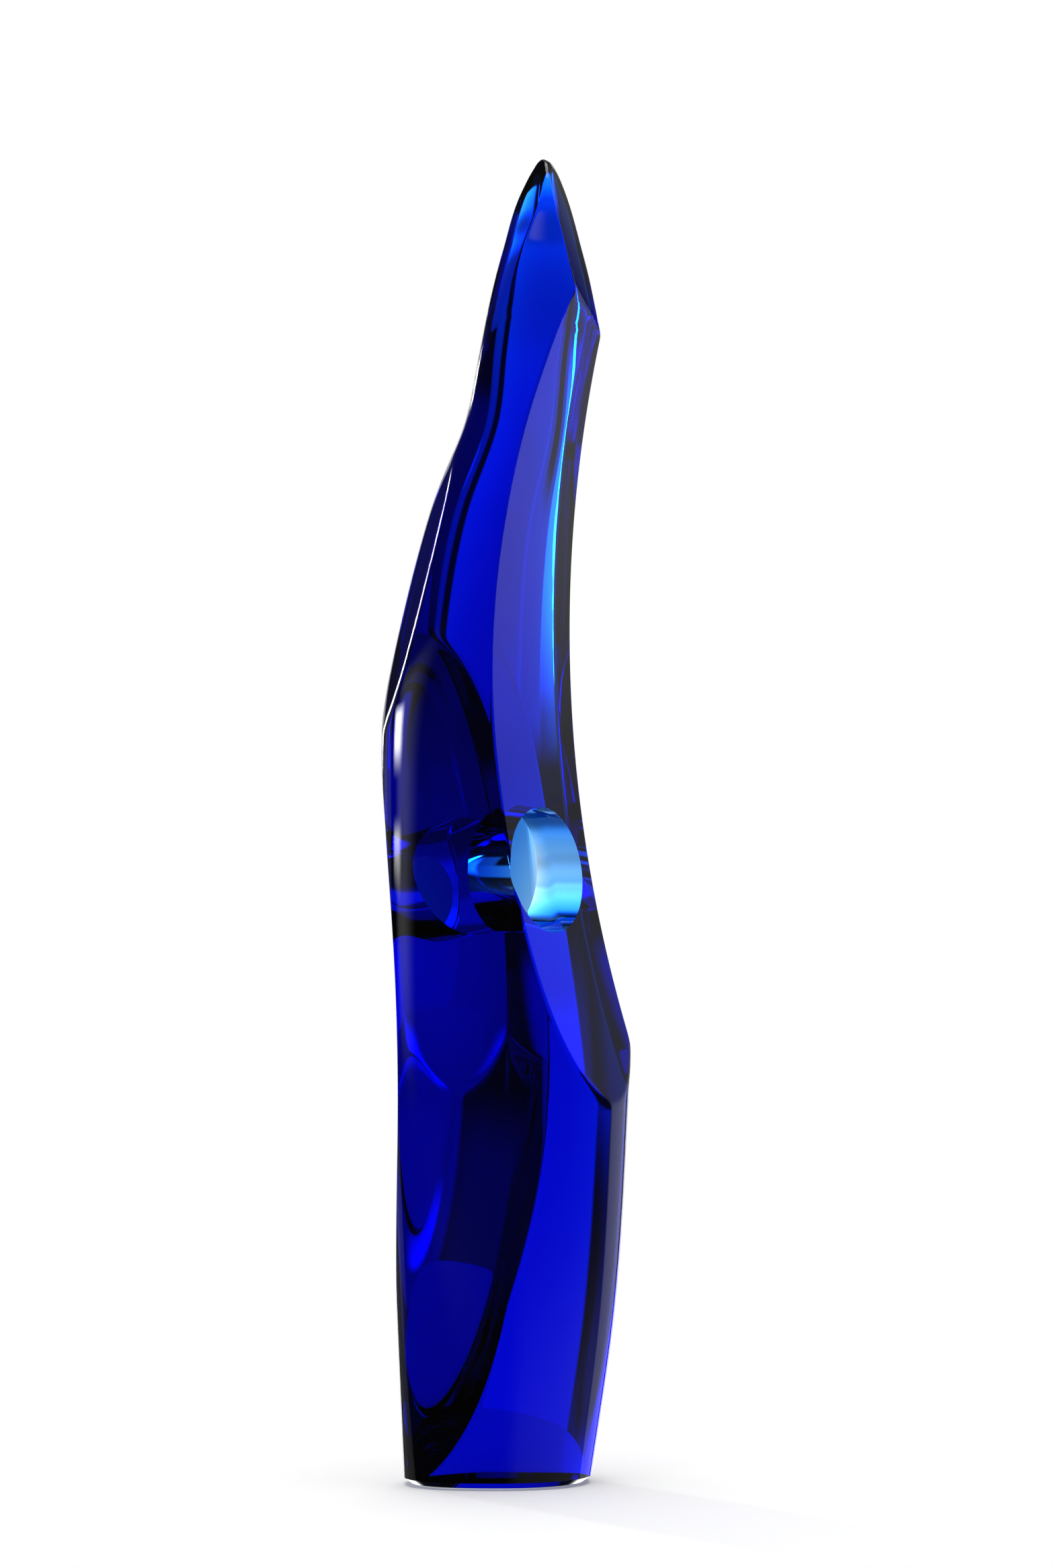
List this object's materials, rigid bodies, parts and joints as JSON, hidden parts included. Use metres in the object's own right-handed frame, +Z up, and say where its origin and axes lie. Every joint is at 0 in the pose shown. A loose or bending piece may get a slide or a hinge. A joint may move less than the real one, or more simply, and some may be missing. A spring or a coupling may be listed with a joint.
{
  "type": "cut glass sculpture",
  "caption": "Tall solid blue cut-glass sculpture, S-curved and faceted, with a round polished socket in one facet, free-standing on a flat base.",
  "frame": {"origin": "on the resting plane, at the middle of the base face", "axes": "+Z up, the glass's long direction; +X to the viewer's right; -Y towards the viewer, in front of the broad front"},
  "size_m": [0.0925, 0.0556, 0.4928],
  "materials": {
    "cobalt_glass": "solid cobalt-blue glass, ground and polished to a clear gloss",
    "clear_pad": "clear soft polyurethane sheet, satin"
  },
  "bodies": {
    "root": {"glass_body": "cobalt_glass", "base_pad": "clear_pad"}
  },
  "joints": []
}
